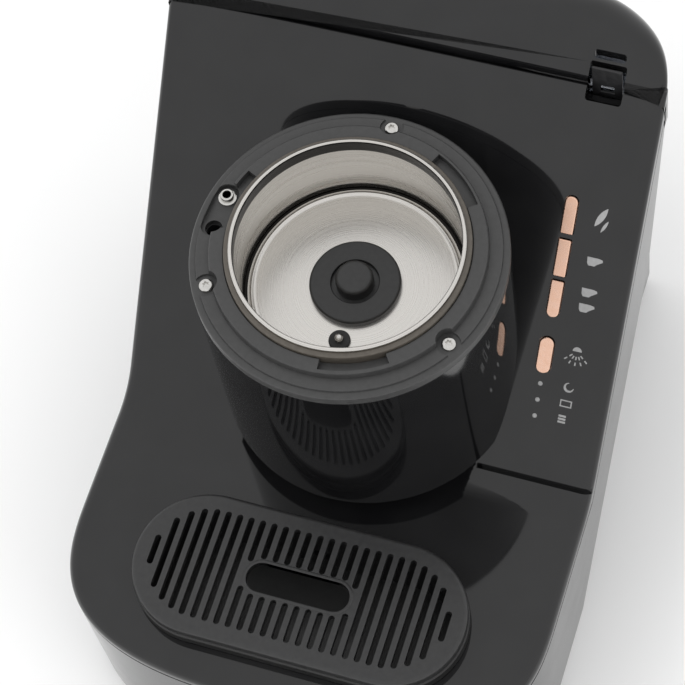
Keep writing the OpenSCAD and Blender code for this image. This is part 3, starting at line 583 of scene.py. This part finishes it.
# ---------------------------------------------------------------- brewing chamber
def turned(name, profile, n, place=UP, hollow=True):
    """A piece turned from a profile of (radius, height) points round an upright axis."""
    return make(name, placed(lathe(profile, n, hollow), place))


UNDER, PLINTH = DECK + 10 * MM, RING_R - 6 * MM
profile = [(PLINTH - WALL, DECK - 1 * MM), (PLINTH, DECK - 1 * MM), (PLINTH, UNDER)]
profile += bow(RING_R - 1 * MM, UNDER + 1 * MM, 1 * MM, -90, 0, 5)
profile += bow(RING_R - 0.4 * MM, RING_Z - 0.4 * MM, 0.4 * MM, 0, 90, 3)
profile += [(RING_R - WALL, RING_Z), (RING_R - WALL, UNDER + WALL), (PLINTH - WALL, UNDER + WALL)]
shell = turned("chamber_shell", profile, 192)
# The housing's deck and panel, as a block that the shell is cut off along
far_y = 2 * BACK_Y
wedge = [(FRONT_Y, -DECK), (far_y, -DECK), (far_y, top_z(far_y)), (FOOT_Y, DECK), (FRONT_Y, DECK)]
carve(shell, across(wedge, -SIDE, SIDE))
finish(shell, "gloss_black", ["chamber_housing"])

# Angles round the chamber are in degrees, anticlockwise from +X
SCREWS, SCREW_R, GAPS = (90, 210, 330), 50.6 * MM, (-70, 50, 170)
SOCKET_R, NIPPLE_A, SOCKET_A = 49.3 * MM, 168, 182.6
POCKET_R, POCKET_DEPTH, SCREW_POCKET = 4.4 * MM, 1.5 * MM, 4.3 * MM
NIPPLE_HOLE, SWITCH_HOLE = 2.7 * MM, 3.1 * MM


def polar(r, a):
    return Matrix.Translation((r * math.cos(math.radians(a)), CY + r * math.sin(math.radians(a)), 0))


def wedge_ring(r0, r1, middle, width, z0, z1, n=20):
    """A stretch of a flat ring, width degrees long."""
    arc = [math.radians(middle + width * (i / n - 0.5)) for i in range(n + 1)]
    outline = [(r1 * math.cos(a), r1 * math.sin(a)) for a in arc]
    outline += [(r0 * math.cos(a), r0 * math.sin(a)) for a in arc[::-1]]
    return placed(prism(outline, z0, z1), UP)


INNER_R = BOWL + 2.3 * MM
profile = [(INNER_R, RING_Z), (RING_R, RING_Z)]
profile += bow(RING_R - 0.9 * MM, FLANGE_Z - 0.9 * MM, 0.9 * MM, 0, 90, 6)
profile += [(53.7 * MM, FLANGE_Z)] + bow(53.1 * MM, FLANGE_Z + 0.6 * MM, 0.4 * MM, 0, 90, 3)
profile += [(BOWL + 8 * MM, FLANGE_Z + 1 * MM)] + bow(BOWL + 6.9 * MM, TOP_Z - 0.7 * MM, 0.7 * MM, 0, 90, 5)
profile += bow(INNER_R + 0.4 * MM, TOP_Z - 0.4 * MM, 0.4 * MM, 90, 180, 3)
ring = turned("ring", profile, 192)
carve(ring, *[wedge_ring(BOWL + 2 * MM, BOWL + 6.4 * MM, a, 30, FLANGE_Z + 1.02 * MM, RIM_Z) for a in GAPS])
screw_pocket = prism(circle(SCREW_POCKET, 48), FLANGE_Z + 0.02 * MM, RIM_Z)
carve(ring, *[placed(screw_pocket, polar(SCREW_R, a)) for a in SCREWS])
# One pocket with round ends holds the nipple and the lid switch's hole
mid = math.radians((NIPPLE_A + SOCKET_A) / 2)
span = math.radians(SOCKET_A - NIPPLE_A) / 2
outline = []
for sign, start in ((-1, -90), (1, 90)):
    for i in range(13):
        a, turn = mid + sign * span, mid + math.radians(start + (i / 12 - 0.5) * 180)
        outline.append((SOCKET_R * math.cos(a) + POCKET_R * math.cos(turn),
                        SOCKET_R * math.sin(a) + POCKET_R * math.sin(turn)))
carve(ring, placed(prism(outline, FLANGE_Z - POCKET_DEPTH, RIM_Z), UP))
carve(ring, placed(prism(circle(NIPPLE_HOLE, 32), 0, RIM_Z), polar(SOCKET_R, NIPPLE_A)),
      placed(prism(circle(SWITCH_HOLE, 32), 0, RIM_Z), polar(SOCKET_R, SOCKET_A)))
finish(ring, "ring_satin", ["top_ring"])

SHANK_R, HEAD_R, HEAD_EDGE = 1.45 * MM, 2.6 * MM, 0.6 * MM
STAR_R, STAR_WAVE, STAR_STEPS = 1.12 * MM, 0.2 * MM, 36
# A solid of revolution ends this far from its axis, so that its end cap has an edge
TIP = 0.02 * MM
profile = [(SHANK_R, RING_Z - 9 * MM), (SHANK_R, FLANGE_Z), (HEAD_R, FLANGE_Z + 0.02 * MM)]
profile += [(HEAD_R, FLANGE_Z + HEAD_EDGE)] + bow(1.7 * MM, FLANGE_Z + HEAD_EDGE, 0.9 * MM, 0, 90, 6)
profile += [(TIP, FLANGE_Z + 1.5 * MM)]
heads = make("screws", join(*[placed(lathe(profile, 48), polar(SCREW_R, a)) for a in SCREWS]))
star = []
for i in range(STAR_STEPS):
    t = 2 * math.pi * i / STAR_STEPS
    r = STAR_R + STAR_WAVE * math.cos(6 * t)
    star.append((r * math.cos(t), r * math.sin(t)))
star = prism(star, FLANGE_Z + HEAD_EDGE, RIM_Z)
carve(heads, *[placed(star, polar(SCREW_R, a)) for a in SCREWS])
finish(heads, "steel_bright", ["ring_screws"])

profile = [(BOWL + 0.05 * MM, RING_Z), (BOWL + 2.2 * MM, RING_Z)]
profile += bow(BOWL + 1.6 * MM, RIM_Z - 2.3 * MM, 0.6 * MM, 0, 90, 5)
profile += bow(BOWL + 0.65 * MM, RIM_Z - 2.2 * MM, 0.6 * MM, 90, 180, 5)
finish(turned("gasket_ring", profile, 192), "gasket", ["chamber_gasket"])

# The bowl: flange and outside, underside, floor with its low ridge, groove, inside wall and rolled rim
STEEL, BEAD_R, FLANGE_W, GROOVE = 0.8 * MM, 0.8 * MM, 4.2 * MM, 0.4 * MM
DRAIN_R, RIDGE_H = 12 * MM, 0.7 * MM
inside, ridge = BOWL - STEEL, BOWL - 3.8 * MM
profile = [(BOWL + FLANGE_W, RING_Z), (BOWL + FLANGE_W, RING_Z - STEEL), (BOWL, RING_Z - STEEL)]
profile += [(BOWL, FLOOR_Z + 0.2 * MM)] + bow(BOWL - 1 * MM, FLOOR_Z + 0.2 * MM, 1 * MM, 0, -90, 6)
profile += [(DRAIN_R, FLOOR_Z - STEEL), (DRAIN_R, FLOOR_Z), (ridge - 1.6 * MM, FLOOR_Z)]
for t in (-1, -0.6, -0.3, 0, 0.3, 0.6, 1):
    profile.append((ridge + t * MM, FLOOR_Z + RIDGE_H * math.cos(math.pi / 2 * t) ** 2))
profile += [(inside - 1.5 * MM, FLOOR_Z), (inside - 1.4 * MM, FLOOR_Z - GROOVE)]
profile += [(inside - 0.4 * MM, FLOOR_Z - GROOVE), (inside, FLOOR_Z + 0.3 * MM), (inside, RING_Z)]
profile += bow(BOWL - STEEL / 2, RIM_Z - BEAD_R, BEAD_R, 210, -30, 16) + [(BOWL, RING_Z)]
finish(turned("bowl", profile, 256), "brushed_steel", ["brew_chamber"], angle=40)

HUB_R, HUB_BORE, HUB_NECK = 16.4 * MM, 4.5 * MM, 11.8 * MM
knob_lo, knob_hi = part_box("valve_stopper")
KNOB, KNOB_TOP = (knob_hi.x - knob_lo.x) / 2, knob_hi.z
OUT_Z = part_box("hub_disc")[0].z
profile = [(HUB_BORE, OUT_Z), (HUB_NECK, OUT_Z), (HUB_NECK, FLOOR_Z), (HUB_R, FLOOR_Z)]
profile += bow(HUB_R - 1.0 * MM, FLOOR_Z + 2 * MM, 1.0 * MM, 0, 90, 6)
profile += bow(KNOB + 2.2 * MM, FLOOR_Z + 2.6 * MM, 0.4 * MM, 90, 180, 4)
profile += [(KNOB + 1.8 * MM, FLOOR_Z + 1.4 * MM), (HUB_BORE, FLOOR_Z + 1.4 * MM)]
finish(turned("hub", profile, 128), "hub_black", ["hub_disc"])

STEM_BORE, STEM_R, KNOB_R, BORE_TOP = 2.2 * MM, 3.6 * MM, 1.6 * MM, FLOOR_Z + 4 * MM
profile = [(STEM_BORE, FLOOR_Z - 6 * MM), (STEM_R, FLOOR_Z - 6 * MM), (STEM_R, FLOOR_Z + 1.5 * MM)]
profile += [(KNOB - 0.3 * MM, FLOOR_Z + 1.5 * MM), (KNOB, FLOOR_Z + 1.8 * MM)]
profile += bow(KNOB - KNOB_R, KNOB_TOP - KNOB_R, KNOB_R, 0, 90, 8)
profile += [(TIP, KNOB_TOP - 0.15 * MM), (TIP, BORE_TOP), (STEM_BORE, BORE_TOP)]
finish(turned("stopper_knob", profile, 96), "knob_rubber", ["valve_stopper"], "stopper")

lo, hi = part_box("temperature_probe")
PROBE = Matrix.Translation(((lo.x + hi.x) / 2, (lo.y + hi.y) / 2, 0))
PROBE_R, GROMMET_R, PROBE_HOLE = 1.6 * MM, 3.9 * MM, 3.2 * MM
profile = [(2.6 * MM, FLOOR_Z - 12 * MM), (2.6 * MM, FLOOR_Z - 6 * MM), (PROBE_R, FLOOR_Z - 6 * MM)]
profile += bow(0, FLOOR_Z + 2.4 * MM, PROBE_R, 0, 88, 7)
finish(turned("probe", profile, 48, PROBE, False), "steel_bright", ["temperature_probe"])
profile = [(PROBE_R, FLOOR_Z - 4 * MM), (GROMMET_R, FLOOR_Z - 4 * MM), (GROMMET_R, FLOOR_Z - STEEL)]
profile += [(PROBE_HOLE, FLOOR_Z - STEEL), (PROBE_HOLE, FLOOR_Z), (GROMMET_R, FLOOR_Z)]
profile += bow(3.4 * MM, FLOOR_Z + 0.7 * MM, 0.5 * MM, 0, 90, 4) + [(PROBE_R, FLOOR_Z + 1.2 * MM)]
finish(turned("grommet", profile, 64, PROBE), "rubber", ["probe_grommet"])

NIPPLE_BORE, NIPPLE_R, COLLAR_R, POCKET_Z = 1.6 * MM, 2.5 * MM, 3.3 * MM, FLANGE_Z - POCKET_DEPTH
profile = [(NIPPLE_BORE, RING_Z - 24 * MM), (NIPPLE_R, RING_Z - 24 * MM), (NIPPLE_R, POCKET_Z)]
profile += [(COLLAR_R, POCKET_Z), (COLLAR_R, FLANGE_Z - 0.5 * MM), (2.9 * MM, FLANGE_Z - 0.3 * MM)]
profile += [(2.4 * MM, FLANGE_Z - 0.3 * MM)] + bow(2.0 * MM, FLANGE_Z + 1.1 * MM, 0.4 * MM, 0, 90, 4)
profile += [(NIPPLE_BORE, FLANGE_Z + 1.5 * MM)]
finish(turned("nipple", profile, 48, polar(SOCKET_R, NIPPLE_A)), "steel_bright", ["water_nipple"])

# ---------------------------------------------------------------- drip tray and grille
def pill(l, w, d=0.0):
    return stadium(l - 2 * d, w - 2 * d, TRAY_Y, 40)


TUB_Z = tray_lo.z
LEDGE = DECK + 0.1 * MM
TOP = tray_hi.z
LIP_R, TUB_R = 1.2 * MM, 2 * MM
TURNS = (0.4, 0.8, 1.2, math.pi / 2)


def flat(outline, z):
    return [(x, y, z) for x, y in outline]


rows = [flat(pill(TUB_L, TUB_W, WALL), TUB_Z + WALL), flat(pill(TUB_L, TUB_W, WALL), TOP - 0.4 * MM),
        flat(pill(TUB_L, TUB_W, WALL - 0.4 * MM), TOP),
        flat(pill(TRAY_L, TRAY_W, LIP_R), TOP)]
for t in TURNS:
    rows.append(flat(pill(TRAY_L, TRAY_W, LIP_R * (1 - math.sin(t))), TOP - LIP_R * (1 - math.cos(t))))
rows += [flat(pill(TRAY_L, TRAY_W, 0.0), LEDGE + 0.4 * MM), flat(pill(TRAY_L, TRAY_W, 0.4 * MM), LEDGE),
         flat(pill(TUB_L, TUB_W), LEDGE)]
rows += [flat(pill(TUB_L, TUB_W), TUB_Z + TUB_R)]
for t in TURNS:
    rows.append(flat(pill(TUB_L, TUB_W, TUB_R * (1 - math.cos(t))), TUB_Z + TUB_R * (1 - math.sin(t))))
tray = make("tray", rings(rows))
DRAIN_Z = DECK - 12 * MM
BEHIND_TUB = Matrix.Translation((0, TRAY_Y + TUB_W / 2 + 1 * MM, DRAIN_Z))
BEHIND_TUB = BEHIND_TUB @ Matrix.Rotation(math.pi / 2, 4, "X")
carve(tray, placed(prism(circle(3.6 * MM, 32), 0, 6 * MM), BEHIND_TUB))
finish(tray, "tray_black", ["drip_tray"], "drip_tray")

g_lo, g_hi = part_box("drip_grille")
GL, GW, GZ = g_hi.x - g_lo.x, g_hi.y - g_lo.y, g_lo.z
GT, GRILLE_T, GRILLE_R = GZ + 5 * MM, 3 * MM, 1.6 * MM
SLOTS, PITCH, SLOT_W = 26, 4.48 * MM, 2.35 * MM
FINGER_L, FINGER_R, BORDER = 28 * MM, 5.7 * MM, 2.6 * MM


def slot_outline(x, y0, y1):
    r = SLOT_W / 2
    return bow(x, y1 - r, r, 0, 180, 8) + bow(x, y0 + r, r, 180, 360, 8)


rows = [flat(pill(GL, GW, 0.4 * MM), GZ), flat(pill(GL, GW), GZ + 0.4 * MM)]
for t in (0.0, 0.26, 0.52, 0.79, 1.05, 1.31, math.pi / 2):
    rows.append(flat(pill(GL, GW, GRILLE_R * (1 - math.cos(t))), GT - GRILLE_R * (1 - math.sin(t))))
border_w = 2 * FINGER_R + BORDER
grille = make("grille", rings(rows))
reach_l, reach_w = (GL - 11 * MM), (GW - 12 * MM)
cuts = []
for i in range(SLOTS):
    x = (i - (SLOTS - 1) / 2) * PITCH
    past = max(0.0, abs(x) + SLOT_W / 2 - (reach_l - reach_w) / 2)
    if past >= reach_w / 2:
        continue
    half_y = math.sqrt((reach_w / 2) ** 2 - past ** 2)
    near = abs(x) - SLOT_W / 2
    over = max(0.0, near - FINGER_L / 2)
    if over < border_w / 2:
        gap = math.sqrt((border_w / 2) ** 2 - over ** 2)
        spans = [(-half_y, -gap), (gap, half_y)]
    else:
        spans = [(-half_y, half_y)]
    for y0, y1 in spans:
        if y1 - y0 > 1.2 * SLOT_W:
            cuts.append(prism(slot_outline(x, TRAY_Y + y0, TRAY_Y + y1), GZ - 1 * MM, GT + 1 * MM))
carve(grille, join(*cuts))
fl, fw = FINGER_L + 2 * FINGER_R, 2 * FINGER_R
carve(grille, prism(pill(fl, fw), GZ - 1 * MM, GT + 1 * MM),
      prism(pill(GL - 11 * MM, GW - 11 * MM), GZ - 1 * MM, GT - GRILLE_T))
# The raised border's section: how far it stands out from the finger slot, and its height over the grille
border = [(0.0, -2.9), (0.0, 0.2), (0.25, 0.4), (0.9, 0.4), (1.25, 0.1), (1.25, -2.9)]
border = rings([flat(pill(fl, fw, -out * MM), GT + up * MM) for out, up in border], True)
merge(grille, make("border", border))
finish(grille, "grille_grey", ["drip_grille"], "grille")

# ---------------------------------------------------------------- controls
KEY_ROOT, KEY_RISE, KEY_FLANGE = 5.4 * MM, 1.2 * MM, (-4.4 * MM, -3.1 * MM)
for name in BUTTONS:
    x, s = BUTTONS[name]
    # The key and the collar under the panel that keeps it from falling out
    half_w = (SINGLE_W if name == "button_clean" else BAR_W) / 2 + 1 * MM
    half_l = BUTTON_L / 2 - 0.4 * MM
    key = make(name.replace("button", "key"), placed(join(
        prism(key_outline(name), -KEY_ROOT, KEY_RISE, top=0.45 * MM),
        prism(rounded(x - half_w, s - half_l, x + half_w, s + half_l, 0.5 * MM), *KEY_FLANGE)), ON_PANEL))
    finish(key, "rose_gold", [name], name)
LIGHT_S = (41.8 * MM, 35.3 * MM, 28.8 * MM)
lamp = lathe([(1 * MM, -9 * MM), (1 * MM, -0.1 * MM), (0.8 * MM, 0.07 * MM), (0.3 * MM, 0.1 * MM)], 32)
lamps = [placed(lamp, ON_PANEL @ Matrix.Translation((BUTTON_X, s, 0))) for s in LIGHT_S]
lamps = make("lamps", join(*lamps))
finish(lamps, "light_guide", ["status_lights"])

# Printed icons beside the keys: two leaves, three cups, a spray and three status marks. Outlines are in mm.
ICON_LO, ICON_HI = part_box("panel_icons")
ICON_X, ICON_T, ICON_SUNK = (ICON_LO.x + ICON_HI.x) / 2, 0.12 * MM, 0.02 * MM


def icon(points, x, s, turn=0.0):
    """A thin raised print on the panel, x across it and s up its slope, turned by some degrees."""
    spot = ON_PANEL @ Matrix.Translation((x, s, 0)) @ Matrix.Rotation(math.radians(turn), 4, "Z")
    return placed(prism([(px * MM, py * MM) for px, py in points], -ICON_SUNK, ICON_T), spot)


def leaf(length, width):
    """Two equal arcs that meet in a point at each end."""
    r = (length ** 2 + width ** 2) / (4 * width)
    a = math.degrees(math.asin(length / 2 / r))
    return bow(width / 2 - r, 0, r, -a, a, 12)[:-1] + bow(r - width / 2, 0, r, 180 - a, 180 + a, 12)[:-1]


def frame_marks(w, h, t):
    """The four sides of a rectangle drawn with a line of width t."""
    return [[(-w, -h), (w, -h), (w, t - h), (-w, t - h)], [(-w, h - t), (w, h - t), (w, h), (-w, h)],
            [(-w, t - h), (t - w, t - h), (t - w, h - t), (-w, h - t)],
            [(w - t, t - h), (w, t - h), (w, h - t), (w - t, h - t)]]


CUP = [(-1.8, -1.7), (0.4, -1.7), (1.2, -0.9), (3.2, 0.4), (3.0, 1.2), (1.6, 1.5), (-2.6, 1.5), (-2.4, -0.8)]
top_s, cup_s, cups_s, clean_s = (BUTTONS[k][1] for k in BUTTONS)
marks = [icon(leaf(8.4, 2.3), ICON_X - 0.4 * MM, top_s + 1.5 * MM, -27),
         icon(leaf(5.2, 1.1), ICON_X + 1.3 * MM, top_s - 1.7 * MM, -25)]
for place in (cup_s + 1 * MM, cups_s + 5 * MM, cups_s - 1 * MM):
    marks.append(icon(CUP, ICON_X - 0.2 * MM, place))
SPRAY_X, SPRAY_S, DASH_W, DASH_L = ICON_X - 0.4 * MM, clean_s + 4 * MM, 0.25, 0.65
marks.append(icon(bow(0, 0, 1.7, 0, 180, 14), SPRAY_X, SPRAY_S))
for a in (-48, -24, 0, 24, 48):
    for far in (2.7, 5.0):
        end, start = -far - DASH_L, DASH_L - far
        dash = [(-DASH_W, end), (DASH_W, end), (DASH_W, start), (-DASH_W, start)]
        marks.append(icon(dash, SPRAY_X, SPRAY_S, a))
crescent = bow(0, 0, 1.9, 100, 350, 20) + bow(0.3, 0.3, 1.4, 350, 100, 20)
marks.append(icon(crescent, ICON_X - 1.1 * MM, LIGHT_S[0] + 1 * MM))
marks += [icon(side, ICON_X - 1.1 * MM, LIGHT_S[1] + 1 * MM) for side in frame_marks(2.2, 1.4, 0.45)]
for y in (-1.2, 0.0, 1.2):
    bar = [(-1.4, y - 0.4), (1.4, y - 0.4), (1.4, y + 0.4), (-1.4, y + 0.4)]
    marks.append(icon(bar, ICON_X - 1.6 * MM, LIGHT_S[2] + 1.2 * MM))
finish(make("icons", join(*marks)), "icon_grey", ["panel_icons"])

# ---------------------------------------------------------------- softened copies of the plainer parts
body_of = {n: body for body, names in record["behaviour"]["bodies"].items() for n in names}
slot_of = {row["node"]: row["material_slot"] for row in record["subparts"]}
BEVELS = {"rear_shell": 0.8, "base_plate": 0.3, "rubber_feet": 0.8, "water_tank": 0.6, "cover_latch": 0.25,
          "mains_inlet": 0.3, "tray_well": 0.4, "socket_block": 0.2, "cover_hinge_pin": 0.2, "hub_nut": 0.3}
for node, bevel in BEVELS.items():
    from_cad(node, slot_of[node], body_of[node], bevel * MM)
for node, obj in frame["nodes"].items():
    obj.data.materials.clear()
    obj.data.materials.append(FINISH[slot_of[node]])

# ---------------------------------------------------------------- floor, light and camera
floor_mesh = bpy.data.meshes.new("floor")
FLOOR = 3.0
corners = [(-FLOOR, -FLOOR, 0), (FLOOR, -FLOOR, 0), (FLOOR, FLOOR, 0), (-FLOOR, FLOOR, 0)]
floor_mesh.from_pydata(corners, [], [(0, 1, 2, 3)])
floor = bpy.data.objects.new("floor", floor_mesh)
bpy.context.scene.collection.objects.link(floor)
floor_mesh.materials.append(material("floor_white", (0.96, 0.96, 0.96), (0.98, 0.98, 0.98), 0.7, 0.8, 3))

scene = bpy.context.scene
scene.view_settings.view_transform = "Standard"
world = bpy.data.worlds.new("studio")
scene.world = world
world.use_nodes = True
world.node_tree.nodes["Background"].inputs["Color"].default_value = (1, 1, 1, 1)
world.node_tree.nodes["Background"].inputs["Strength"].default_value = 1.0


def soft_light(name, where, aim, size, power):
    light = bpy.data.lights.new(name, "AREA")
    light.shape, light.size, light.energy = "SQUARE", size, power
    obj = bpy.data.objects.new(name, light)
    obj.location = where
    obj.rotation_euler = (Vector(aim) - Vector(where)).to_track_quat("-Z", "Y").to_euler()
    obj.visible_glossy = False
    scene.collection.objects.link(obj)


soft_light("key_light", (-0.9, -0.5, 1.6), (0, 0, 0.1), 0.9, 6)
soft_light("fill_light", (1.2, -0.6, 1.2), (0, 0, 0.1), 0.8, 3)

camera = bpy.data.cameras.new("camera")
camera.lens, camera.sensor_width = 136.88, 36
camera.clip_start, camera.clip_end = 0.01, 20
camera.dof.use_dof = False
eye = bpy.data.objects.new("camera", camera)
right = Vector((0.94727378, 0.30332421, -0.10328024))
up = Vector((-0.23040479, 0.8687907, 0.43831079))
ahead = Vector((-0.22267919, 0.39140405, -0.89287001))
EYE = (0.2057, -0.3683, 0.9704)
eye.matrix_world = Matrix.Translation(EYE) @ Matrix((right, up, -ahead)).transposed().to_4x4()
scene.collection.objects.link(eye)
scene.camera = eye
